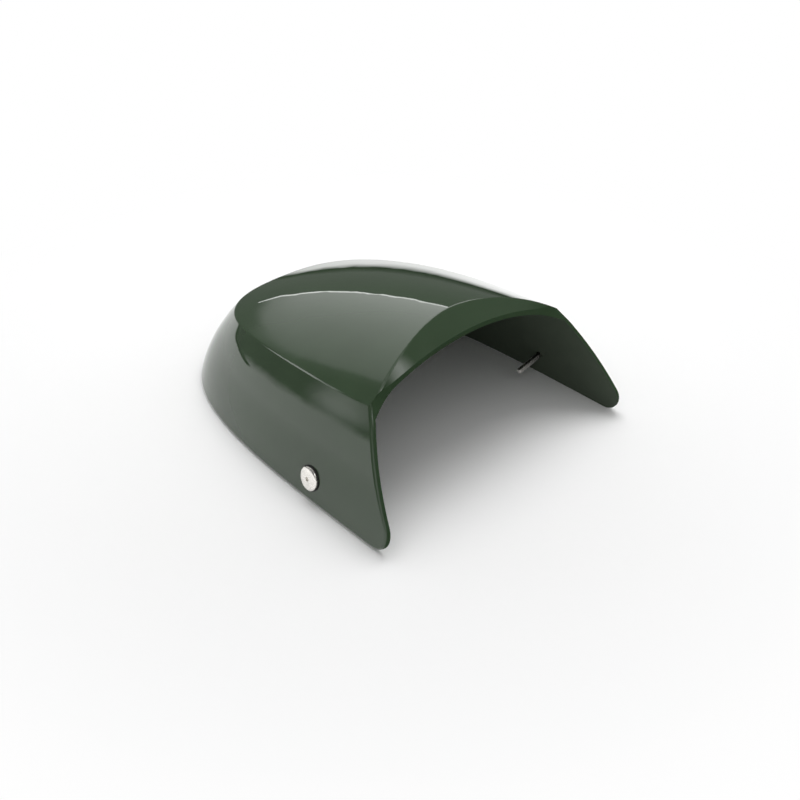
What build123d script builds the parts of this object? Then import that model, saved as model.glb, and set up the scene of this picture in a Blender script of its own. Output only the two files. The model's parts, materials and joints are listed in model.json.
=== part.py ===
from build123d import *
import os
from math import cos, pi, radians, sin, sqrt, tan

# Seat cowl of a single-seat motorcycle: a moulded shell that covers the rear of the seat,
# with a fixing screw and a rubber washer in each flank. Lengths are in millimetres and angles in degrees.
# The frame: +Z is up, the opening faces -Y, the tail faces +Y, and Z = 0 is the plane of the bottom rim.
# The rider's left is +X, and the origin is under the middle of the cowl.

# Overall size, measured to the corners of the rim before its outer edge is rounded
LENGTH = 303.0
WIDTH = 250.0
CROWN_HEIGHT = 114.0
WALL = 3.5

# Walls: how they lean in at the rim, and the radius in which they roll inwards with height
SIDE_DRAFT = 4.0
SIDE_ROLL_RADIUS = 154.0
TAIL_DRAFT = 12.7
TAIL_ROLL_RADIUS = 89.6

# Outline seen from above, as exponents: 2 and 2 make an ellipse,
# and more makes the tail blunter or the sides straighter
TAIL_BLUNTNESS = 3.0
SIDE_STRAIGHTNESS_RIM = 3.83
SIDE_STRAIGHTNESS_TOP = 2.16

# Crown: its fall to the rear, its sweep lengthwise, its radius across, and the round of the shoulder
# that runs on down the front edges and along the rim
CROWN_FALL = 10.3
CROWN_SWEEP_RADIUS = 1136.0
CROWN_RADIUS_FRONT = 131.0
CROWN_RADIUS_TAIL = 431.0
SHOULDER_FILLET = 2.5

# Lip over the opening: its crease on the crown, and the free edge in front of it
ARCH_SETBACK = 70.0
ARCH_NOSE = 30.0
ARCH_SWEEP = 19.3
LIP_SETBACK = 48.7
LIP_DROP = 8.5
LIP_RADIUS = 180.0
LIP_EDGE = 3.9
CREASE_FILLET = 2.0

# Flanks at the opening: the rake of their front edges, the sweep from the knee up to the lip, and the round tips
FRONT_RAKE = 55.7
KNEE_HEIGHT = 73.8
SWEEP_DROP = 23.2
TIP_RADIUS = 14.1

# Fixing screws and their washers
SCREW_SETBACK = 81.0
SCREW_HEIGHT = 19.0
SHANK_DIAMETER = 5.0
SHANK_LENGTH = 30.0
SHANK_CHAMFER = 0.6
NECK_DIAMETER = 4.4
NECK_LENGTH = 6.0
HEAD_DIAMETER = 18.0
HEAD_THICKNESS = 2.4
HEAD_CHAMFER = 0.6
SOCKET_FLATS = 3.0
SOCKET_DEPTH = 1.6
WASHER_DIAMETER = 19.0
WASHER_THICKNESS = 1.4
SEAT_DEPTH = 0.6
SEAT_CLEARANCE = 0.3
HOLE_CLEARANCE = 0.25

# Construction: how far tool bodies run past the shell, and how many sections the lofts take
MARGIN = 15.0
OVERRUN = 2.5
OUTLINE_STEPS = 10
WALL_LEVELS = 5
CROWN_STATIONS = 7
LIP_STATIONS = 15


def spread(first, last, count):
    """Evenly spaced values from first to last."""
    return [first + (last - first) * i / (count - 1) for i in range(count)]


def half_width(z, skin=0.0):
    """Half the width at height z, on the surface that lies skin inside the outer one."""
    lean = tan(radians(SIDE_DRAFT)) + z / SIDE_ROLL_RADIUS
    drawn_in = tan(radians(SIDE_DRAFT)) * z + z**2 / (2 * SIDE_ROLL_RADIUS)
    return WIDTH / 2 - drawn_in - skin * sqrt(1 + lean**2)


def tail_reach(z, skin=0.0):
    """Distance from the front tips to the tail at height z."""
    lean = tan(radians(TAIL_DRAFT)) + z / TAIL_ROLL_RADIUS
    drawn_in = tan(radians(TAIL_DRAFT)) * z + z**2 / (2 * TAIL_ROLL_RADIUS)
    return LENGTH - drawn_in - skin * sqrt(1 + lean**2)


def straightness(z):
    """Exponent of the outline's sides at height z."""
    return SIDE_STRAIGHTNESS_RIM + (SIDE_STRAIGHTNESS_TOP - SIDE_STRAIGHTNESS_RIM) * z / CROWN_HEIGHT


def flank(y, z):
    """X of the left flank's outer face at distance y behind the tips and height z."""
    share = (y / tail_reach(z)) ** straightness(z)
    return half_width(z) * (1 - share) ** (1 / TAIL_BLUNTNESS)


def outline(z, skin):
    """The U-shaped outline at height z as a face, closed by a straight line in front of the tips."""
    half = [(half_width(z, skin), -2 * MARGIN)]
    for angle in spread(0, pi / 2, OUTLINE_STEPS + 1)[:-1]:
        x = half_width(z, skin) * cos(angle) ** (2 / TAIL_BLUNTNESS)
        half.append((x, tail_reach(z, skin) * sin(angle) ** (2 / straightness(z))))
    points = half + [(0, tail_reach(z, skin))] + [(-x, y) for x, y in reversed(half)]
    curve = Spline(points, tangents=[(0, 1), (0, -1)])
    return Pos(0, 0, z) * make_face([curve, Line(curve @ 1, curve @ 0)])


def walls(skin, bottom):
    """Solid inside the flanks and the tail, from height bottom to above the crown."""
    levels = spread(bottom, CROWN_HEIGHT + MARGIN / 2, WALL_LEVELS)
    return loft([outline(z, skin) for z in levels])


def crown_radius(y):
    """Radius across the top of the crown at distance y behind the tips."""
    return CROWN_RADIUS_FRONT + (CROWN_RADIUS_TAIL - CROWN_RADIUS_FRONT) * (y / LENGTH) ** 2


def crown_height(x, y, skin=0.0):
    """Height of the crown over a point of the plan."""
    back = y - ARCH_SETBACK
    middle = CROWN_HEIGHT - tan(radians(CROWN_FALL)) * back - back**2 / (2 * CROWN_SWEEP_RADIUS)
    return middle - skin - x**2 / (2 * (crown_radius(y) - skin))


def arch_section(y, rise, half, drop):
    """Face across the cowl at y: a parabola of height rise in the middle that has dropped by drop at the sides."""
    top = Bezier((-half, rise - drop), (0, rise + drop), (half, rise - drop))
    deep = -2 * MARGIN
    foot = Polyline((half, rise - drop), (half, deep), (-half, deep), (-half, rise - drop))
    return Plane(origin=(0, y, 0), x_dir=(1, 0, 0), z_dir=(0, -1, 0)) * make_face([top, foot])


def crown(skin):
    """Solid under the crown."""
    half = WIDTH / 2 + MARGIN
    sections = []
    for y in spread(-2 * MARGIN, LENGTH + MARGIN, CROWN_STATIONS):
        rise = crown_height(0, y, skin)
        sections.append(arch_section(y, rise, half, rise - crown_height(half, y, skin)))
    return loft(sections)


def arch_crease(x):
    """Y of the crease between the crown and the lip."""
    slant = tan(radians(ARCH_SWEEP)) * ARCH_NOSE
    return ARCH_SETBACK - slant * (sqrt(1 + (x / ARCH_NOSE) ** 2) - 1)


def front_run():
    """Y that the raked front edge gains for each unit of height."""
    return 1 / tan(radians(FRONT_RAKE))


def front_edge(z):
    """Y of the front edge at height z: raked up to the knee, and swept back in a cubic to the lip."""
    raked = TIP_RADIUS - TIP_RADIUS / tan(radians(FRONT_RAKE / 2)) + min(z, KNEE_HEIGHT) * front_run()
    sweep = CROWN_HEIGHT - SWEEP_DROP - KNEE_HEIGHT
    share = min(max((z - KNEE_HEIGHT) / sweep, 0.0), 1.0)
    blend = share**2 * (3 - 2 * share)
    return raked + (LIP_SETBACK - raked) * blend + front_run() * sweep * share * (1 - share) ** 2


def lip_edge_height(x):
    """Height of the lip's free edge at x."""
    return CROWN_HEIGHT - LIP_DROP - x**2 / (2 * LIP_RADIUS)


def above_lip(skin):
    """Solid over the lip: the lip's face is a loft of straight lines from its free edge to the crease."""
    front = -3 * MARGIN
    ceiling = crown_height(0, front) + MARGIN
    sections = []
    for x in spread(-WIDTH / 2, WIDTH / 2, LIP_STATIONS):
        edge = Vector(front_edge(lip_edge_height(x)) - OVERRUN, lip_edge_height(x))
        crease = Vector(arch_crease(x), crown_height(x, arch_crease(x)))
        along = (crease - edge).normalized()
        inward = Vector(along.Y, -along.X) * skin
        low = edge + inward
        high = crease + along * MARGIN + inward
        corners = [(low.X, low.Y), (high.X, high.Y), (high.X, ceiling), (front, ceiling), (front, low.Y)]
        face = make_face(Polyline(*corners, close=True))
        sections.append(Plane(origin=(x, 0, 0), x_dir=(0, 1, 0), z_dir=(1, 0, 0)) * face)
    return loft(sections)


def side_view():
    """The cowl's side view as a solid: flat bottom, round tips, raked front edges, and the sweep up to the lip."""
    lip_corner = Vector(LIP_SETBACK, CROWN_HEIGHT - SWEEP_DROP)
    knee = Vector(front_edge(KNEE_HEIGHT), KNEE_HEIGHT)
    third = (lip_corner.Y - knee.Y) / 3
    sweep = Bezier(knee, knee + Vector(front_run(), 1) * third, lip_corner - Vector(0, third), lip_corner)
    back = LENGTH + MARGIN
    ceiling = crown_height(0, 0) + MARGIN
    frame = Polyline(lip_corner, (LIP_SETBACK, ceiling), (back, ceiling), (back, 0), (front_edge(0), 0), knee)
    face = make_face([sweep, frame])
    tip = face.vertices().sort_by_distance((front_edge(0), 0))[0]
    return extrude(Plane.YZ * fillet(tip, TIP_RADIUS), WIDTH, both=True)


def opening():
    """Solid under the lip's free edge, inside the walls."""
    front = -2 * MARGIN
    rise = lip_edge_height(0) - LIP_EDGE
    face = arch_section(front, rise, WIDTH / 2, rise + LIP_EDGE - lip_edge_height(WIDTH / 2))
    return extrude(face, front - ARCH_SETBACK) & walls(WALL, front)


def screw_seat():
    """Plane of the flat under the left washer, with its Z axis pointing out of the flank."""
    y, z = SCREW_SETBACK, SCREW_HEIGHT
    along = flank(y + 0.5, z) - flank(y - 0.5, z)
    up = flank(y, z + 0.5) - flank(y, z - 0.5)
    normal = Vector(1, -along, -up).normalized()
    return Plane(origin=Vector(flank(y, z), y, z) - normal * SEAT_DEPTH, x_dir=(0, 1, 0), z_dir=normal)


def both_sides(piece):
    """The left piece together with its mirror image."""
    return [piece, mirror(piece, about=Plane.YZ)]


def screw_cuts():
    """Tool for the left screw: the spot face for its washer and the hole for its shank."""
    spot_face = Cylinder(WASHER_DIAMETER / 2 + SEAT_CLEARANCE, MARGIN, align=(Align.CENTER, Align.CENTER, Align.MIN))
    hole = Cylinder(SHANK_DIAMETER / 2 + HOLE_CLEARANCE, 2 * MARGIN)
    return screw_seat() * (spot_face + hole)


def make_shell():
    """The cowl: its outer form with rounded edges, less its inner form, open at the bottom and at the front."""
    outer = ((walls(0, -MARGIN) & crown(0)) - above_lip(0)) & side_view()
    skirt = outer.faces().sort_by_distance((WIDTH, LENGTH / 2, CROWN_HEIGHT / 4))[0]
    rim_first = skirt.edges().sort_by(Axis.Z)
    outer = fillet(rim_first[1:], SHOULDER_FILLET)
    crease = outer.edges().sort_by_distance((0, ARCH_SETBACK, CROWN_HEIGHT))[0]
    outer = fillet(crease, CREASE_FILLET)
    inner = (walls(WALL, -2 * MARGIN) & crown(WALL)) - above_lip(WALL)
    return (outer - inner - opening()) - both_sides(screw_cuts())


def make_screw():
    """The left screw: a flat head with a hexagon socket, a neck through the flank, and a plain shank."""
    rim = (HEAD_DIAMETER / 2, HEAD_THICKNESS)
    tip = (SHANK_DIAMETER / 2, -SHANK_LENGTH)
    neck = NECK_DIAMETER / 2
    corners = [(0, HEAD_THICKNESS), rim, (rim[0], 0), (neck, 0), (neck, -NECK_LENGTH)]
    corners += [(tip[0], -NECK_LENGTH), tip, (0, -SHANK_LENGTH)]
    face = make_face(Polyline(*corners, close=True))
    face = chamfer(face.vertices().sort_by_distance(rim)[0], HEAD_CHAMFER)
    face = chamfer(face.vertices().sort_by_distance(tip)[0], SHANK_CHAMFER)
    screw = revolve(Plane.XZ * face, Axis.Z)
    socket = RegularPolygon(SOCKET_FLATS / 2, 6, major_radius=False)
    screw -= Pos(0, 0, HEAD_THICKNESS) * extrude(socket, -SOCKET_DEPTH)
    return screw_seat() * Pos(0, 0, WASHER_THICKNESS) * screw


def make_washer():
    """The left rubber washer, between the screw's head and the flank."""
    ring = Circle(WASHER_DIAMETER / 2) - Circle(SHANK_DIAMETER / 2 + HOLE_CLEARANCE)
    return screw_seat() * extrude(ring, WASHER_THICKNESS)


if __name__ == "__main__":
    os.makedirs("parts", exist_ok=True)
    shell = make_shell()
    nodes = {
        "cowl_shell": [shell],
        "fixing_screws": both_sides(make_screw()),
        "screw_washers": both_sides(make_washer()),
    }
    to_middle = Pos(0, -shell.bounding_box().center().Y, 0)
    for name, pieces in nodes.items():
        export_step(Compound([to_middle * piece.solid() for piece in pieces]), f"parts/{name}.step")
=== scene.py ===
"""Seat cowl: the looks of a glossy green tail cover for a single-seat motorcycle, on its CAD frame."""

import json
import math

import bmesh
import bpy
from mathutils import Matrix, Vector


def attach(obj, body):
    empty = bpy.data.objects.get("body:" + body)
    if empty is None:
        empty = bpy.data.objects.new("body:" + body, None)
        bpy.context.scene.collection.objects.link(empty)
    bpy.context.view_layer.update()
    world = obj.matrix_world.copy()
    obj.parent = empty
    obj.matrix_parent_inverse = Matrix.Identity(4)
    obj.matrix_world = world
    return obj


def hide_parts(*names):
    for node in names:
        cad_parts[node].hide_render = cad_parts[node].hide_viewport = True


bl_info = {
    "name": "Seat Cowl",
    "version": (1, 0, 0),
    "blender": (4, 5, 0),
    "location": "View3D > Sidebar > Seat Cowl",
    "description": "Paints the moulded cowl, makes its fixing screws and washers, and sets the studio",
    "category": "Object",
}

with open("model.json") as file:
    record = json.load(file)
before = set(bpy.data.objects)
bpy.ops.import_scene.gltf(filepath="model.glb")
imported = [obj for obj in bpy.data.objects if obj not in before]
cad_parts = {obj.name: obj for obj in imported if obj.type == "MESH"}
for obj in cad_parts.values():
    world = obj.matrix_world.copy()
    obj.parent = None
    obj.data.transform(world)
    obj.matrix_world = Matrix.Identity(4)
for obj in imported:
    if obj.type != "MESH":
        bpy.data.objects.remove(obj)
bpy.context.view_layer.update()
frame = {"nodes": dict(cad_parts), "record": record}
PINS = [mount for mount in frame["record"]["mounts"] if mount["kind"] == "pin"]
MM = 0.001

# Inside of the shell: it faces this point, once the length is squeezed, and the mask is soft over this distance
HOLLOW_POINT = (0.0, 0.0, 5 * MM)
HOLLOW_SQUEEZE = (1.0, 0.4, 1.0)
HOLLOW_SOFTNESS = 1 * MM

# How far forward a surface faces where the lacquer starts to thin out, and where the bare cut edges begin
LACQUER_END = -0.62
CUT_EDGE = -0.78

# Screw: facets round it, rings of its dome and how full that is, its eased edges, tip and socket's mouth
SCREW_STEPS = 48
DOME_RINGS = 12
DOME_FULLNESS = 2.6
RIM_TOP = 0.85
EDGE_EASE = 0.15 * MM
TIP_CHAMFER = 0.5 * MM
SOCKET_MOUTH = 1.35
SOCKET_SINK = 0.05 * MM
RIDGE_SHARE = 0.43
LEAST_SCREW_FACES = 1000

# Studio floor: its size, how far it lies under the rim, and the radii over which the camera sees it turn plain white
FLOOR_RADIUS = 6.0
FLOOR_GAP = 0.2 * MM
SHADOW_RADIUS = 0.2
WHITE_RADIUS = 0.45

# The floor in the lacquer: the radii over which it turns evenly bright, and the lines where it ends on the right
# and behind, as the way across each and how far out it lies. The line behind ends at a third one, on the left.
SHEEN_START = 0.05
SHEEN_FULL = 0.45
RIGHT_WAY, RIGHT_REACH = (1, 0, 0), 0.36
BACK_WAY, BACK_REACH = (0.5, 0.5, 0), 0.55
LEFT_WAY = (1, 0.5, 0)
LINE_SOFTNESS = 0.05
GLOOM_REACH = 0.35

# Walls, as shares of their radius: the pale strip low on the left, its slant, its height and where it begins
WALL_RADIUS = 40.0
STRIP_SLANT = (0.16, 0, 1)
STRIP_FULL, STRIP_TOP = -0.09, -0.02
STRIP_LEFT, STRIP_RIGHT = -0.45, -0.3

# Panel behind the tail, in degrees of azimuth from the tail's way to the right and of elevation:
# its corners, two ramps of brightness from one place to another, and the line of its darker left side
PANEL_DISTANCE = 10.0
PANEL_CORNERS = (
    (-45, 48), (-8, 12), (21.9, 8.4), (25.3, 7.1), (29.1, 8.0), (33.9, 11.1), (37.2, 13.4),
    (41, 16.5), (66, 24), (66, 48), (40, 62))
PANEL_RAMPS = (
    ((18.5, 8), (24.5, 12.5), 0.15, 0.75),
    ((9, 15), (41, 39), 0.0, 1.4))
PANEL_CENTRE = (15, 27)
PANEL_FULL, PANEL_FADE = 29, 42
PANEL_LEFT = ((18, 14.5), (-6, 37.4))
LEFT_SHARE = 0.4
LEFT_START, LEFT_END = -0.1, 0.18

# Bright strip along the panel's lower edge: azimuth, elevation and half its width, in degrees
STRIP_DISTANCE = 9.5
STRIP_LINE = (
    (22.5, 8.0, 0.1), (25.3, 7.0, 0.25), (29.1, 7.8, 0.4), (33.9, 10.8, 0.55), (37.2, 13.2, 0.6), (41, 16.5, 0.6))

# Round lights: name, azimuth and elevation of the centre, angles where it is full and where it has faded, brightness
LIGHT_DISTANCE = 9.0
SOFT_LIGHTS = (
    ("crease_light", (-26, 23), 4, 12, 2.0),
    ("corner_light", (-46.5, 8.5), 1, 7, 0.9),
    ("lip_light", (160, 50), 3, 20, 2.4),
    ("overhead_light", (0, 89), 6, 24, 0.7),
    ("left_light", (-135, 26), 8, 30, 0.8),
)


# Settings

class CowlPaintSettings(bpy.types.PropertyGroup):
    """Finish of the moulded shell, outside and inside"""

    colour: bpy.props.FloatVectorProperty(
        name="Paint", description="Colour of the pigment under the lacquer",
        subtype="COLOR", size=3, min=0, max=1, default=(0.034, 0.058, 0.030))
    shade: bpy.props.FloatProperty(
        name="Paint Mottle", description="How much the pigment varies from place to place",
        subtype="FACTOR", min=0, max=1, default=0.06)
    mottle_size: bpy.props.FloatProperty(
        name="Mottle Size", description="Width of one patch of the uneven pigment",
        unit="LENGTH", min=0.001, default=0.045)
    inside_colour: bpy.props.FloatVectorProperty(
        name="Inside", description="Colour of the thin overspray on the inside",
        subtype="COLOR", size=3, min=0, max=1, default=(0.080, 0.098, 0.074))
    inside_roughness: bpy.props.FloatProperty(
        name="Inside Roughness", description="Roughness of the bare inside",
        subtype="FACTOR", min=0, max=1, default=0.42)
    paint_roughness: bpy.props.FloatProperty(
        name="Paint Roughness", description="Roughness of the pigment under the lacquer",
        subtype="FACTOR", min=0, max=1, default=0.45)
    coat_roughness: bpy.props.FloatProperty(
        name="Lacquer Roughness", description="Roughness of the clear lacquer",
        subtype="FACTOR", min=0, max=1, default=0.025)
    peel_size: bpy.props.FloatProperty(
        name="Peel Size", description="Width of one ripple of the orange peel in the lacquer",
        unit="LENGTH", min=0.0001, default=0.0035)
    peel_height: bpy.props.FloatProperty(
        name="Peel Height", description="Height of the orange peel in the lacquer",
        unit="LENGTH", min=0, default=0.0000012)
    inside_grain: bpy.props.FloatProperty(
        name="Inside Grain", description="Width of one grain of the moulded inside",
        unit="LENGTH", min=0.0001, default=0.0016)
    grain_height: bpy.props.FloatProperty(
        name="Grain Height", description="Height of the grain of the moulded inside",
        unit="LENGTH", min=0, default=0.00006)


class ScrewSettings(bpy.types.PropertyGroup):
    """Shape and finish of the two fixing screws"""

    head_diameter: bpy.props.FloatProperty(
        name="Head", description="Diameter of the screw head", unit="LENGTH", min=0.001, default=0.018)
    head_height: bpy.props.FloatProperty(
        name="Head Height", description="Height of the domed head", unit="LENGTH", min=0.0001, default=0.0024)
    rim_height: bpy.props.FloatProperty(
        name="Head Rim", description="Height of the upright rim of the head",
        unit="LENGTH", min=0.0001, default=0.0008)
    socket_flats: bpy.props.FloatProperty(
        name="Socket", description="Width of the hexagon socket across its flats",
        unit="LENGTH", min=0.0005, default=0.003)
    socket_depth: bpy.props.FloatProperty(
        name="Socket Depth", description="Depth of the hexagon socket", unit="LENGTH", min=0.0001, default=0.0016)
    neck_length: bpy.props.FloatProperty(
        name="Neck", description="Plain length under the head", unit="LENGTH", min=0, default=0.006)
    shank_length: bpy.props.FloatProperty(
        name="Shank", description="Length under the head", unit="LENGTH", min=0.001, default=0.030)
    thread_diameter: bpy.props.FloatProperty(
        name="Thread", description="Diameter over the crests of the thread",
        unit="LENGTH", min=0.001, default=0.005)
    thread_depth: bpy.props.FloatProperty(
        name="Thread Depth", description="Height of the thread from root to crest",
        unit="LENGTH", min=0.0001, default=0.0004)
    thread_pitch: bpy.props.FloatProperty(
        name="Pitch", description="Rise of the thread in one turn", unit="LENGTH", min=0.0002, default=0.0008)
    colour: bpy.props.FloatVectorProperty(
        name="Steel", description="Colour of the bright steel",
        subtype="COLOR", size=3, min=0, max=1, default=(0.78, 0.76, 0.72))
    roughness: bpy.props.FloatProperty(
        name="Steel Roughness", description="Roughness of the turned steel",
        subtype="FACTOR", min=0, max=1, default=0.28)
    tarnish_size: bpy.props.FloatProperty(
        name="Tarnish Size", description="Width of one patch of tarnish", unit="LENGTH", min=0.0001, default=0.004)
    polish_size: bpy.props.FloatProperty(
        name="Polish Size", description="Width of one patch of rougher or smoother steel",
        unit="LENGTH", min=0.0001, default=0.0012)
    scuff_size: bpy.props.FloatProperty(
        name="Scuff Size", description="Width of one scuff", unit="LENGTH", min=0.0001, default=0.0005)
    scuff_height: bpy.props.FloatProperty(
        name="Scuff Height", description="Depth of the scuffs", unit="LENGTH", min=0, default=0.00005)
    # Painted shade on the thread: the steel is darker from its tip to where it meets the flank
    tip_shade: bpy.props.FloatProperty(
        name="Tip Shade", description="Share of the steel's brightness at the tip of the oiled thread",
        subtype="FACTOR", min=0, max=1, default=0.6)
    neck_shade: bpy.props.FloatProperty(
        name="Neck Shade", description="Share of the steel's brightness where the oiled thread meets the flank",
        subtype="FACTOR", min=0, max=1, default=0.12)


class WasherSettings(bpy.types.PropertyGroup):
    """Finish of the two rubber washers"""

    colour: bpy.props.FloatVectorProperty(
        name="Rubber", description="Colour of the washers",
        subtype="COLOR", size=3, min=0, max=1, default=(0.012, 0.012, 0.012))
    roughness: bpy.props.FloatProperty(
        name="Rubber Roughness", description="Roughness of the washers",
        subtype="FACTOR", min=0, max=1, default=0.7)
    dust_size: bpy.props.FloatProperty(
        name="Dust Size", description="Width of one patch of dust", unit="LENGTH", min=0.0001, default=0.003)
    grain_size: bpy.props.FloatProperty(
        name="Grain", description="Width of one grain of the rubber", unit="LENGTH", min=0.0001, default=0.0004)
    grain_height: bpy.props.FloatProperty(
        name="Grain Height", description="Height of the grain of the rubber",
        unit="LENGTH", min=0, default=0.00005)


class StudioSettings(bpy.types.PropertyGroup):
    """Floor, light and camera"""

    floor_colour: bpy.props.FloatVectorProperty(
        name="Floor", description="Colour of the studio floor",
        subtype="COLOR", size=3, min=0, max=1, default=(0.92, 0.92, 0.92))
    ambient: bpy.props.FloatProperty(
        name="Ambient", description="Strength of the even light from all round", min=0, default=0.58)
    key_power: bpy.props.FloatProperty(
        name="Key Lamp", description="Power of the large overhead lamp",
        subtype="POWER", unit="POWER", min=0, default=12.0)
    key_place: bpy.props.FloatVectorProperty(
        name="Key Place", description="Place of the large overhead lamp", subtype="TRANSLATION", unit="LENGTH",
        size=3, default=(0.3, 0.3, 1.3))
    key_size: bpy.props.FloatVectorProperty(
        name="Key Size", description="Length and width of the large overhead lamp", unit="LENGTH",
        size=2, min=0, default=(1.2, 0.8))
    floor_glow: bpy.props.FloatProperty(
        name="Paper", description="Brightness of the floor in the lacquer", min=0, default=1.5)
    wall_glow: bpy.props.FloatProperty(
        name="Walls", description="Brightness of the dark studio walls in the lacquer", min=0, default=0.17)
    panel_glow: bpy.props.FloatProperty(
        name="Panel", description="Brightness of the large graded panel behind the tail in the lacquer",
        min=0, default=1.0)
    strip_glow: bpy.props.FloatProperty(
        name="Strip", description="Brightness of the bright lower edge of the panel in the lacquer",
        min=0, default=3.4)
    side_glow: bpy.props.FloatProperty(
        name="Round Lights", description="Brightness of the round lights at the sides and overhead in the lacquer",
        min=0, default=1.5)
    azimuth: bpy.props.FloatProperty(
        name="Azimuth", description="Turn of the camera about the object",
        subtype="ANGLE", default=math.radians(-42.5))
    elevation: bpy.props.FloatProperty(
        name="Elevation", description="Height of the camera above the horizon",
        subtype="ANGLE", default=math.radians(34.75))
    eye: bpy.props.FloatVectorProperty(
        name="Eye", description="Place of the camera", subtype="TRANSLATION", unit="LENGTH",
        size=3, default=(-0.4754, -0.54868, 0.4960))
    lens: bpy.props.FloatProperty(
        name="Lens", description="Focal length for a sensor 36 mm wide",
        unit="CAMERA", min=1, default=48.65)


# Helpers for meshes and node trees

def join_rings(bm, lower, upper):
    """Fills the band between two rings with the same number of vertices."""
    for i in range(len(lower)):
        j = (i + 1) % len(lower)
        bm.faces.new((lower[i], lower[j], upper[j], upper[i]))


def lathe(bm, profile, steps):
    """Turns a profile of (radius, height) points about Z, and returns its rings of vertices."""
    rings = []
    for radius, height in profile:
        ring = [bm.verts.new((radius * math.cos(turn), radius * math.sin(turn), height))
                for turn in (2 * math.pi * i / steps for i in range(steps))]
        rings.append(ring)
    for lower, upper in zip(rings, rings[1:]):
        join_rings(bm, lower, upper)
    return rings


def plain_mesh(name, bm):
    """Turns a bmesh into a mesh and frees it."""
    mesh = bpy.data.meshes.new(name)
    bm.to_mesh(mesh)
    bm.free()
    return mesh


def piece_object(name, mesh):
    """Links a mesh as an object at the origin."""
    piece = bpy.data.objects.new(name, mesh)
    bpy.context.scene.collection.objects.link(piece)
    return piece


def bake_modifiers(piece):
    """Turns the evaluated shape of a piece into its plain mesh."""
    graph = bpy.context.evaluated_depsgraph_get()
    mesh = bpy.data.meshes.new_from_object(piece.evaluated_get(graph))
    piece.modifiers.clear()
    piece.data = mesh


def new_material(name):
    """A node material with its Principled shader."""
    material = bpy.data.materials.new(name)
    material.use_nodes = True
    return material, material.node_tree, material.node_tree.nodes["Principled BSDF"]


def add_node(tree, kind, links=None, **values):
    """Adds a node, sets its attributes, and its sockets by name or number through links."""
    node = tree.nodes.new(kind)
    for name, value in values.items():
        setattr(node, name, value)
    for key, source in (links or {}).items():
        if isinstance(source, bpy.types.NodeSocket):
            tree.links.new(source, node.inputs[key])
        else:
            node.inputs[key].default_value = source
    return node


def maths(tree, operation, first, second=0.0):
    """One step of arithmetic on numbers or sockets."""
    return add_node(tree, "ShaderNodeMath", {0: first, 1: second}, operation=operation).outputs[0]


def dot(tree, first, second):
    """How far one vector reaches along another."""
    return add_node(tree, "ShaderNodeVectorMath", {0: first, 1: second}, operation="DOT_PRODUCT").outputs["Value"]


def scaled(tree, colour, shade):
    """A colour made lighter or darker by a socket."""
    return add_node(tree, "ShaderNodeVectorMath", {0: tuple(colour), "Scale": shade},
                    operation="SCALE").outputs["Vector"]


def ramp(tree, value, first, second, low=0.0, high=1.0, kind="LINEAR"):
    """A value that goes from low to high while another goes from first to second."""
    return add_node(tree, "ShaderNodeMapRange", {
        "Value": value, "From Min": first, "From Max": second, "To Min": low, "To Max": high},
        interpolation_type=kind).outputs["Result"]


def soft_ramp(tree, value, first, second, low=0.0, high=1.0):
    """A ramp with eased ends."""
    return ramp(tree, value, first, second, low, high, "SMOOTHSTEP")


def own_place(tree):
    """Places in the coordinates of the object itself."""
    return add_node(tree, "ShaderNodeTexCoord").outputs["Object"]


def noise(tree, place, size, detail):
    """A noise whose lumps are about the given size in metres."""
    return add_node(tree, "ShaderNodeTexNoise",
                    {"Vector": place, "Scale": 1 / size, "Detail": detail}).outputs["Fac"]


def uneven(tree, place, size, detail, low, high):
    """A value that wanders between two limits, in lumps of the given size."""
    return ramp(tree, noise(tree, place, size, detail), 0.3, 0.7, low, high)


def bump(tree, height, strength, distance):
    """The normals of a fine relief."""
    return add_node(tree, "ShaderNodeBump", {
        "Height": height, "Strength": strength, "Distance": distance}).outputs["Normal"]


# Shell

def shell_finish(settings):
    """Lacquered paint outside and a satin, faintly grained overspray inside."""
    material, tree, paint = new_material("shell_paint")
    place = own_place(tree)
    normal = add_node(tree, "ShaderNodeNewGeometry").outputs["Normal"]

    # Inside mask: there the surface faces the middle of the hollow
    squeezed = add_node(tree, "ShaderNodeVectorMath", {0: place, 1: HOLLOW_SQUEEZE}, operation="MULTIPLY")
    away = add_node(tree, "ShaderNodeVectorMath",
                    {0: squeezed.outputs["Vector"], 1: HOLLOW_POINT}, operation="SUBTRACT")
    inside = ramp(tree, dot(tree, normal, away.outputs["Vector"]), HOLLOW_SOFTNESS, -HOLLOW_SOFTNESS)

    # Pigment, a little uneven
    depth = uneven(tree, place, settings.mottle_size, 3.0, 1 - settings.shade, 1 + settings.shade)
    colour = add_node(tree, "ShaderNodeMix", {
        "Factor": inside, 4: scaled(tree, settings.colour, depth),
        5: scaled(tree, settings.inside_colour, depth)}, data_type="VECTOR")
    tree.links.new(colour.outputs[1], paint.inputs["Base Color"])

    # Gloss, and the coat that the outside has up to its cut front edges
    rough = ramp(tree, inside, 0.0, 1.0, settings.paint_roughness, settings.inside_roughness)
    tree.links.new(rough, paint.inputs["Roughness"])
    front = add_node(tree, "ShaderNodeSeparateXYZ", {"Vector": normal}).outputs["Y"]
    bare = maths(tree, "MAXIMUM", inside, ramp(tree, front, LACQUER_END, CUT_EDGE))
    tree.links.new(ramp(tree, bare, 0.0, 1.0, 1.0, 0.0), paint.inputs["Coat Weight"])
    paint.inputs["Specular IOR Level"].default_value = 0.0
    paint.inputs["Coat Roughness"].default_value = settings.coat_roughness
    paint.inputs["Coat IOR"].default_value = 1.5

    # Orange peel in the lacquer, grain on the inside
    peel = bump(tree, noise(tree, place, settings.peel_size, 1.0), 1.0, settings.peel_height)
    tree.links.new(peel, paint.inputs["Coat Normal"])
    grain = bump(tree, noise(tree, place, settings.inside_grain, 3.0), inside, settings.grain_height)
    tree.links.new(grain, paint.inputs["Normal"])
    return material


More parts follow.
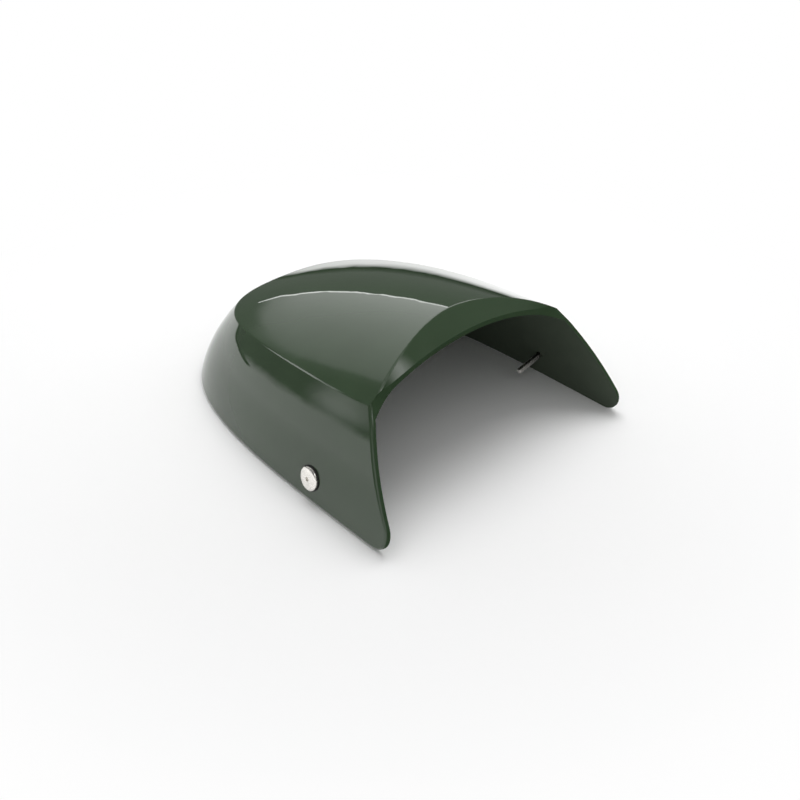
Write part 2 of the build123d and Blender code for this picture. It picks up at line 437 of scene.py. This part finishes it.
class SEATCOWL_OT_paint_shell(bpy.types.Operator):
    """Gives the moulded shell its lacquered paint and satin inside"""

    bl_idname = "seat_cowl.paint_shell"
    bl_label = "Paint Shell"

    def execute(self, context):
        shell = frame["nodes"]["cowl_shell"]
        shell.data.materials.clear()
        shell.data.materials.append(shell_finish(context.scene.cowl_paint))
        return {"FINISHED"}


# Fixing screws

def steel_finish(settings):
    """Bright turned steel with a little tarnish and fine scuffs, and painted shade on the thread."""
    material, tree, steel = new_material("screw_steel")
    place = own_place(tree)
    steel.inputs["Metallic"].default_value = 1.0

    # Painted shade on the thread: darker from the tip to the flank, and none on the head
    across = add_node(tree, "ShaderNodeSeparateXYZ", {"Vector": place}).outputs["X"]
    reach = maths(tree, "ABSOLUTE", across)
    middle, half = abs(PINS[0]["pos_m"][0]), PINS[0]["dims"]["length_mm"] * MM / 2
    thread = ramp(tree, reach, middle - half, middle + half, settings.tip_shade, settings.neck_shade)
    head = ramp(tree, reach, middle + half, middle + half + 1 * MM)
    painted_shade = maths(tree, "MAXIMUM", thread, head)
    tarnish = uneven(tree, place, settings.tarnish_size, 4.0, 0.9, 1.05)
    colour = scaled(tree, settings.colour, maths(tree, "MULTIPLY", tarnish, painted_shade))
    tree.links.new(colour, steel.inputs["Base Color"])

    rough = uneven(tree, place, settings.polish_size, 3.0, settings.roughness * 0.8, settings.roughness * 1.2)
    tree.links.new(rough, steel.inputs["Roughness"])
    scuffs = bump(tree, noise(tree, place, settings.scuff_size, 2.0), 0.15, settings.scuff_height)
    tree.links.new(scuffs, steel.inputs["Normal"])
    return material


def screw_body(settings):
    """Domed head with a hexagon socket, plain neck and thread root: Z points out of the flank, 0 under the head."""
    radius = settings.head_diameter / 2
    top = settings.head_height
    rim = settings.rim_height
    root = settings.thread_diameter / 2 - settings.thread_depth
    tip = -settings.shank_length
    flats = settings.socket_flats / 2
    bm = bmesh.new()

    # Dome from the socket's mouth to the rim, then under the head and down the shank
    mouth = flats * SOCKET_MOUTH
    dome = []
    for i in range(DOME_RINGS + 1):
        reach = mouth + (radius - EDGE_EASE - mouth) * i / DOME_RINGS
        dome.append((reach, rim + (top - rim) * math.sqrt(max(0.0, 1 - (reach / radius) ** DOME_FULLNESS))))
    under = [(radius, rim * RIM_TOP), (radius, EDGE_EASE), (radius - EDGE_EASE, 0.0), (root, 0.0),
             (root, tip + TIP_CHAMFER), (root - TIP_CHAMFER, tip)]
    rings = lathe(bm, dome + under, SCREW_STEPS)
    bm.faces.new(rings[-1])

    # Hexagon socket: its mouth, walls and floor
    socket = []
    for height in (dome[0][1] - SOCKET_SINK, dome[0][1] - settings.socket_depth):
        ring = []
        for i in range(SCREW_STEPS):
            turn = 2 * math.pi * i / SCREW_STEPS
            off = (turn + math.pi / 6) % (math.pi / 3) - math.pi / 6
            reach = flats / math.cos(off)
            ring.append(bm.verts.new((reach * math.cos(turn), reach * math.sin(turn), height)))
        socket.append(ring)
    join_rings(bm, socket[0], rings[0])
    join_rings(bm, socket[1], socket[0])
    bm.faces.new(socket[1])
    bmesh.ops.recalc_face_normals(bm, faces=bm.faces)

    mesh = plain_mesh("screw_body", bm)
    mesh.shade_smooth()
    mesh.set_sharp_from_angle(angle=math.radians(35))
    return mesh


def screw_tree(material):
    """Winds a thread along the shank of a screw body and sets one screw at each seat."""
    tree = bpy.data.node_groups.new("threaded_screws", "GeometryNodeTree")
    tree.is_modifier = True
    sockets = {"Seats": tree.interface.new_socket("Seats", in_out="INPUT", socket_type="NodeSocketGeometry")}
    sockets["Body"] = tree.interface.new_socket("Body", in_out="INPUT", socket_type="NodeSocketObject")
    for name in ("Thread Radius", "Thread Depth", "Pitch", "Thread Length", "Neck"):
        sockets[name] = tree.interface.new_socket(name, in_out="INPUT", socket_type="NodeSocketFloat")
    tree.interface.new_socket("Screws", in_out="OUTPUT", socket_type="NodeSocketGeometry")
    given = tree.nodes.new("NodeGroupInput").outputs

    # Thread: a ridge wound on its root
    root = maths(tree, "SUBTRACT", given["Thread Radius"], given["Thread Depth"])
    helix = add_node(tree, "GeometryNodeCurveSpiral", {
        "Resolution": 20, "Rotations": maths(tree, "DIVIDE", given["Thread Length"], given["Pitch"]),
        "Start Radius": root, "End Radius": root, "Height": given["Thread Length"]})
    upright = add_node(tree, "GeometryNodeSetCurveNormal", {"Curve": helix.outputs["Curve"]}, mode="Z_UP")
    rise = maths(tree, "MULTIPLY", given["Pitch"], RIDGE_SHARE)
    ridge = add_node(tree, "GeometryNodeCurvePrimitiveQuadrilateral", {
        "Width": maths(tree, "MULTIPLY", given["Thread Depth"], 2.0),
        "Bottom Height": rise, "Top Height": rise}, mode="KITE")
    thread = add_node(tree, "GeometryNodeCurveToMesh", {
        "Curve": upright.outputs["Curve"], "Profile Curve": ridge.outputs["Curve"], "Fill Caps": True})
    start = maths(tree, "ADD", given["Thread Length"], given["Neck"])
    drop = add_node(tree, "ShaderNodeCombineXYZ", {"Z": maths(tree, "MULTIPLY", start, -1.0)})
    lowered = add_node(tree, "GeometryNodeTransform", {
        "Geometry": thread.outputs["Mesh"], "Translation": drop.outputs["Vector"]})

    # One screw on each seat, along the way the seat faces
    body = add_node(tree, "GeometryNodeObjectInfo", {"Object": given["Body"]})
    screw = tree.nodes.new("GeometryNodeJoinGeometry")
    tree.links.new(body.outputs["Geometry"], screw.inputs["Geometry"])
    tree.links.new(lowered.outputs["Geometry"], screw.inputs["Geometry"])
    outward = add_node(tree, "GeometryNodeInputNamedAttribute", {"Name": "outward"}, data_type="FLOAT_VECTOR")
    turned = add_node(tree, "FunctionNodeAlignRotationToVector", {
        "Vector": outward.outputs["Attribute"]}, axis="Z")
    placed = add_node(tree, "GeometryNodeInstanceOnPoints", {
        "Points": given["Seats"], "Instance": screw.outputs["Geometry"], "Rotation": turned.outputs["Rotation"]})
    solid = add_node(tree, "GeometryNodeRealizeInstances", {"Geometry": placed.outputs["Instances"]})
    steel = add_node(tree, "GeometryNodeSetMaterial", {"Geometry": solid.outputs["Geometry"], "Material": material})
    add_node(tree, "NodeGroupOutput", {"Screws": steel.outputs["Geometry"]})
    return tree, {name: socket.identifier for name, socket in sockets.items()}


def screw_seats(settings):
    """Single points under the two heads, each with the way that its head faces."""
    seats = bpy.data.meshes.new("screw_seats")
    outwards = [-Vector(pin["axis"]).normalized() for pin in PINS]
    places = [Vector(pin["pos_m"]) + outward * (settings.neck_length + pin["dims"]["length_mm"] * MM / 2)
              for pin, outward in zip(PINS, outwards)]
    seats.from_pydata(places, [], [])
    facing = seats.attributes.new("outward", "FLOAT_VECTOR", "POINT")
    for i, outward in enumerate(outwards):
        facing.data[i].vector = outward
    return seats


class SEATCOWL_OT_make_screws(bpy.types.Operator):
    """Makes the two threaded fixing screws in place of the plain ones"""

    bl_idname = "seat_cowl.make_screws"
    bl_label = "Make Fixing Screws"

    def execute(self, context):
        settings = context.scene.cowl_screws
        body = piece_object("screw_body", screw_body(settings))
        tree, sockets = screw_tree(steel_finish(settings))
        screws = piece_object("threaded_screws", screw_seats(settings))
        wind = screws.modifiers.new("threaded_screws", "NODES")
        wind.node_group = tree
        wind[sockets["Body"]] = body
        wind[sockets["Thread Radius"]] = settings.thread_diameter / 2
        wind[sockets["Thread Depth"]] = settings.thread_depth
        wind[sockets["Pitch"]] = settings.thread_pitch
        wind[sockets["Thread Length"]] = settings.shank_length - settings.neck_length - settings.thread_pitch
        wind[sockets["Neck"]] = settings.neck_length
        bake_modifiers(screws)
        bpy.data.objects.remove(body)
        if len(screws.data.polygons) < LEAST_SCREW_FACES:
            raise RuntimeError("the thread of the fixing screws is missing")
        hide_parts("fixing_screws")
        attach(screws, "root")
        return {"FINISHED"}


# Washers

def rubber_finish(settings):
    """Matt black rubber with a little dust and a fine moulded grain."""
    material, tree, rubber = new_material("washer_rubber")
    place = own_place(tree)
    dust = uneven(tree, place, settings.dust_size, 3.0, 0.8, 1.3)
    tree.links.new(scaled(tree, settings.colour, dust), rubber.inputs["Base Color"])
    rubber.inputs["Roughness"].default_value = settings.roughness
    grain = bump(tree, noise(tree, place, settings.grain_size, 2.0), 0.3, settings.grain_height)
    tree.links.new(grain, rubber.inputs["Normal"])
    return material


class SEATCOWL_OT_finish_washers(bpy.types.Operator):
    """Gives the two washers their rubber finish"""

    bl_idname = "seat_cowl.finish_washers"
    bl_label = "Finish Washers"

    def execute(self, context):
        washers = frame["nodes"]["screw_washers"]
        washers.data.materials.clear()
        washers.data.materials.append(rubber_finish(context.scene.cowl_washers))
        return {"FINISHED"}


# Stage

def white_world(scene, settings):
    """White background for the camera and for reflections, even light for everything else."""
    world = bpy.data.worlds.new("studio")
    world.use_nodes = True
    scene.world = world
    tree = world.node_tree
    even = tree.nodes["Background"]
    even.inputs["Strength"].default_value = settings.ambient
    even.inputs["Color"].default_value = (1, 1, 1, 1)
    white = add_node(tree, "ShaderNodeBackground", {"Color": (1, 1, 1, 1), "Strength": 1.0})
    path = add_node(tree, "ShaderNodeLightPath").outputs
    seen = maths(tree, "MAXIMUM", path["Is Camera Ray"], path["Is Glossy Ray"])
    seen = maths(tree, "MAXIMUM", seen, path["Is Transmission Ray"])
    mix = add_node(tree, "ShaderNodeMixShader", {
        0: seen, 1: even.outputs["Background"], 2: white.outputs["Background"]})
    tree.links.new(mix.outputs["Shader"], tree.nodes["World Output"].inputs["Surface"])


def stage_disc(name, radius, height):
    """A round sheet at a height, facing up."""
    bm = bmesh.new()
    bmesh.ops.create_circle(bm, cap_ends=True, segments=128, radius=radius)
    bmesh.ops.translate(bm, verts=bm.verts, vec=(0, 0, height))
    return piece_object(name, plain_mesh(name, bm))


def floor_finish(settings):
    """White paper that keeps the shadow near the object; the lacquer sees its edges to the right and behind."""
    material, tree, paper = new_material("floor_paper")
    paper.inputs["Base Color"].default_value = (*settings.floor_colour, 1)
    paper.inputs["Roughness"].default_value = 0.9
    paper.inputs["Specular IOR Level"].default_value = 0.0
    place = own_place(tree)
    path = add_node(tree, "ShaderNodeLightPath").outputs
    radius = add_node(tree, "ShaderNodeVectorMath", {0: place}, operation="LENGTH").outputs["Value"]

    # Plain white far off, for the camera
    far = soft_ramp(tree, radius, SHADOW_RADIUS, WHITE_RADIUS)
    white = add_node(tree, "ShaderNodeEmission", {"Strength": 1.0})
    plain = add_node(tree, "ShaderNodeMixShader", {
        0: maths(tree, "MULTIPLY", far, path["Is Camera Ray"]),
        1: paper.outputs["BSDF"], 2: white.outputs["Emission"]})

    # Distance past the edges of the paper that the lacquer shows
    right = maths(tree, "SUBTRACT", dot(tree, place, RIGHT_WAY), RIGHT_REACH)
    back = maths(tree, "SUBTRACT", dot(tree, place, BACK_WAY), BACK_REACH)
    back = maths(tree, "MINIMUM", back, dot(tree, place, LEFT_WAY))
    past = maths(tree, "MAXIMUM", right, back)

    # In the lacquer the paper is evenly bright away from the object, and past its edges dark
    off = ramp(tree, past, -LINE_SOFTNESS, LINE_SOFTNESS)
    away = maths(tree, "MAXIMUM", off, ramp(tree, radius, SHEEN_START, SHEEN_FULL))
    gloom = ramp(tree, past, LINE_SOFTNESS, GLOOM_REACH, 0.0, settings.wall_glow)
    sheen = add_node(tree, "ShaderNodeMix", {"Factor": off, 2: settings.floor_glow, 3: gloom})
    glow = add_node(tree, "ShaderNodeEmission", {"Strength": sheen.outputs[0]})
    mix = add_node(tree, "ShaderNodeMixShader", {
        0: maths(tree, "MULTIPLY", away, path["Is Glossy Ray"]),
        1: plain.outputs["Shader"], 2: glow.outputs["Emission"]})
    tree.links.new(mix.outputs["Shader"], tree.nodes["Material Output"].inputs["Surface"])
    return material


def direction(azimuth, elevation):
    """Unit vector to a place in the studio, in degrees from the tail's way to the right and up from the horizon."""
    a, e = math.radians(azimuth), math.radians(elevation)
    return Vector((math.sin(a) * math.cos(e), math.cos(a) * math.cos(e), math.sin(e)))


def spread(degrees, distance):
    """How far an angle reaches on a flat panel at a distance."""
    return distance * math.tan(math.radians(degrees))


def glow_material(name, strength):
    """Plain light of one strength."""
    material = bpy.data.materials.new(name)
    material.use_nodes = True
    tree = material.node_tree
    tree.nodes.clear()
    glow = add_node(tree, "ShaderNodeEmission", {"Strength": strength})
    add_node(tree, "ShaderNodeOutputMaterial", {"Surface": glow.outputs["Emission"]})
    return material, tree, glow


def studio_light(name, mesh, material):
    """Links a part of the studio that shows in the lacquer and nowhere else."""
    mesh.materials.append(material)
    piece = piece_object(name, mesh)
    piece.visible_camera = False
    piece.visible_diffuse = False
    piece.visible_shadow = False


def from_spot(tree, spot):
    """Distance on a panel from one of its spots."""
    return add_node(tree, "ShaderNodeVectorMath", {0: own_place(tree), 1: spot},
                    operation="DISTANCE").outputs["Value"]


def studio_walls(settings):
    """Dark walls all round, with a pale strip low on the left."""
    bm = bmesh.new()
    bmesh.ops.create_uvsphere(bm, u_segments=48, v_segments=24, radius=WALL_RADIUS)
    mesh = plain_mesh("studio_walls", bm)
    material, tree, glow = glow_material("wall_glow", settings.wall_glow)
    place = own_place(tree)
    low = soft_ramp(tree, dot(tree, place, STRIP_SLANT), STRIP_FULL * WALL_RADIUS, STRIP_TOP * WALL_RADIUS,
                    settings.floor_glow, 0.0)
    side = add_node(tree, "ShaderNodeSeparateXYZ", {"Vector": place}).outputs["X"]
    left = soft_ramp(tree, side, STRIP_LEFT * WALL_RADIUS, STRIP_RIGHT * WALL_RADIUS, 1.0, 0.0)
    total = maths(tree, "MAXIMUM", maths(tree, "MULTIPLY", low, left), settings.wall_glow)
    tree.links.new(total, glow.inputs["Strength"])
    studio_light("studio_walls", mesh, material)


def tail_panel(settings):
    """The large panel behind the tail, with a sharp lower edge: dark at its left, brighter to the right and up."""
    dark, lit = settings.wall_glow, settings.panel_glow
    middle = sum((direction(*corner) for corner in PANEL_CORNERS), Vector()).normalized()

    def spot(azimuth, elevation):
        """Where a line from the object meets the flat panel."""
        way = direction(azimuth, elevation)
        return way * PANEL_DISTANCE / way.dot(middle)

    mesh = bpy.data.meshes.new("tail_panel")
    mesh.from_pydata([spot(*corner) for corner in PANEL_CORNERS], [], [range(len(PANEL_CORNERS))])
    material, tree, glow = glow_material("tail_panel_glow", lit)
    place = own_place(tree)

    # Two ramps of brightness, added
    levels = []
    for first, second, low, high in PANEL_RAMPS:
        begin, end = spot(*first), spot(*second)
        along = end - begin
        levels.append(soft_ramp(tree, dot(tree, place, along), begin.dot(along), end.dot(along),
                                low * lit, high * lit))
    level = maths(tree, "ADD", *levels)

    # Faded far from its centre, and darker past the line on its left side
    faded = soft_ramp(tree, from_spot(tree, spot(*PANEL_CENTRE)), spread(PANEL_FULL, PANEL_DISTANCE),
                      spread(PANEL_FADE, PANEL_DISTANCE), 1.0, 0.0)
    level = maths(tree, "MULTIPLY", level, faded)
    lower, upper = (spot(*way) for way in PANEL_LEFT)
    across = middle.cross(upper - lower).normalized()
    line = lower.dot(across)
    left = soft_ramp(tree, dot(tree, place, across), line + LEFT_START, line + LEFT_END, LEFT_SHARE, 1.0)
    level = maths(tree, "MULTIPLY", level, left)
    tree.links.new(maths(tree, "MAXIMUM", level, dark), glow.inputs["Strength"])
    studio_light("tail_panel", mesh, material)


def panel_strip(settings):
    """The narrow light along the panel's lower edge."""
    points = []
    for azimuth, elevation, half in STRIP_LINE:
        points += [direction(azimuth, elevation + side) * STRIP_DISTANCE for side in (-half, half)]
    mesh = bpy.data.meshes.new("panel_strip")
    mesh.from_pydata(points, [], [(i, i + 2, i + 3, i + 1) for i in range(0, len(points) - 2, 2)])
    studio_light("panel_strip", mesh, glow_material("panel_strip_glow", settings.strip_glow)[0])


def soft_light(name, centre, full, fade, strength):
    """A round light with a soft edge: its centre, and the angles within which it is full and fades out."""
    middle = direction(*centre)
    right = middle.orthogonal().normalized()
    up = right.cross(middle)
    spot = middle * LIGHT_DISTANCE
    half = spread(fade, LIGHT_DISTANCE)
    mesh = bpy.data.meshes.new(name)
    mesh.from_pydata([spot + (right * x + up * y) * half for x, y in ((-1, -1), (1, -1), (1, 1), (-1, 1))],
                     [], [range(4)])
    material, tree, glow = glow_material(name + "_glow", strength)
    level = soft_ramp(tree, from_spot(tree, spot), spread(full, LIGHT_DISTANCE), half, strength, 0.0)
    tree.links.new(level, glow.inputs["Strength"])
    clear = add_node(tree, "ShaderNodeBsdfTransparent")
    both = add_node(tree, "ShaderNodeAddShader", {0: glow.outputs["Emission"], 1: clear.outputs["BSDF"]})
    tree.links.new(both.outputs["Shader"], tree.nodes["Material Output"].inputs["Surface"])
    studio_light(name, mesh, material)


class SEATCOWL_OT_set_stage(bpy.types.Operator):
    """Sets the floor, the light and the camera"""

    bl_idname = "seat_cowl.set_stage"
    bl_label = "Set Stage"

    def execute(self, context):
        scene = context.scene
        settings = scene.cowl_studio
        scene.view_settings.view_transform = "Standard"
        white_world(scene, settings)

        floor = stage_disc("studio_floor", FLOOR_RADIUS, -FLOOR_GAP)
        floor.data.materials.append(floor_finish(settings))

        # Walls and lights that the lacquer shows
        studio_walls(settings)
        tail_panel(settings)
        panel_strip(settings)
        for name, centre, full, fade, share in SOFT_LIGHTS:
            soft_light(name, centre, full, fade, share * settings.side_glow)

        lamp = bpy.data.lights.new("key_lamp", "AREA")
        lamp.shape = "RECTANGLE"
        lamp.size, lamp.size_y = settings.key_size
        lamp.energy = settings.key_power
        key = bpy.data.objects.new("key_lamp", lamp)
        scene.collection.objects.link(key)
        key.location = settings.key_place
        key.visible_glossy = False
        key.rotation_mode = "QUATERNION"
        key.rotation_quaternion = (-key.location).to_track_quat("-Z", "Y")

        camera = bpy.data.objects.new("camera", bpy.data.cameras.new("camera"))
        scene.collection.objects.link(camera)
        camera.data.sensor_width = 36.0
        camera.data.lens = settings.lens
        a, e = settings.azimuth, settings.elevation
        back = Vector((math.sin(a) * math.cos(e), -math.cos(a) * math.cos(e), math.sin(e)))
        camera.location = settings.eye
        camera.rotation_mode = "QUATERNION"
        camera.rotation_quaternion = (-back).to_track_quat("-Z", "Y")
        camera.data.clip_start, camera.data.clip_end = 0.01, 50.0
        scene.camera = camera
        return {"FINISHED"}


# Panel and registration

class SEATCOWL_PT_panel(bpy.types.Panel):
    """Lists the settings of the seat cowl and the steps that make it"""

    bl_idname = "SEATCOWL_PT_panel"
    bl_label = "Seat Cowl"
    bl_space_type = "VIEW_3D"
    bl_region_type = "UI"
    bl_category = "Seat Cowl"

    def draw(self, context):
        for group, operator in PANEL_ROWS:
            settings = getattr(context.scene, group)
            box = self.layout.box()
            for name in settings.bl_rna.properties.keys():
                if name not in ("rna_type", "name"):
                    box.prop(settings, name)
            box.operator(operator)


PANEL_ROWS = (
    ("cowl_paint", "seat_cowl.paint_shell"),
    ("cowl_screws", "seat_cowl.make_screws"),
    ("cowl_washers", "seat_cowl.finish_washers"),
    ("cowl_studio", "seat_cowl.set_stage"),
)
SETTINGS = {
    "cowl_paint": CowlPaintSettings,
    "cowl_screws": ScrewSettings,
    "cowl_washers": WasherSettings,
    "cowl_studio": StudioSettings,
}
CLASSES = (
    SEATCOWL_OT_paint_shell,
    SEATCOWL_OT_make_screws,
    SEATCOWL_OT_finish_washers,
    SEATCOWL_OT_set_stage,
    SEATCOWL_PT_panel,
)


def register():
    """Registers the settings, the steps and the panel."""
    for name, group in SETTINGS.items():
        bpy.utils.register_class(group)
        setattr(bpy.types.Scene, name, bpy.props.PointerProperty(type=group))
    for cls in CLASSES:
        bpy.utils.register_class(cls)


def unregister():
    """Takes the panel, the steps and the settings away again."""
    for cls in reversed(CLASSES):
        bpy.utils.unregister_class(cls)
    for name, group in SETTINGS.items():
        delattr(bpy.types.Scene, name)
        bpy.utils.unregister_class(group)


def main():
    """Makes the whole object and its stage."""
    register()
    bpy.ops.seat_cowl.paint_shell()
    bpy.ops.seat_cowl.make_screws()
    bpy.ops.seat_cowl.finish_washers()
    bpy.ops.seat_cowl.set_stage()


if __name__ == "__main__":
    main()
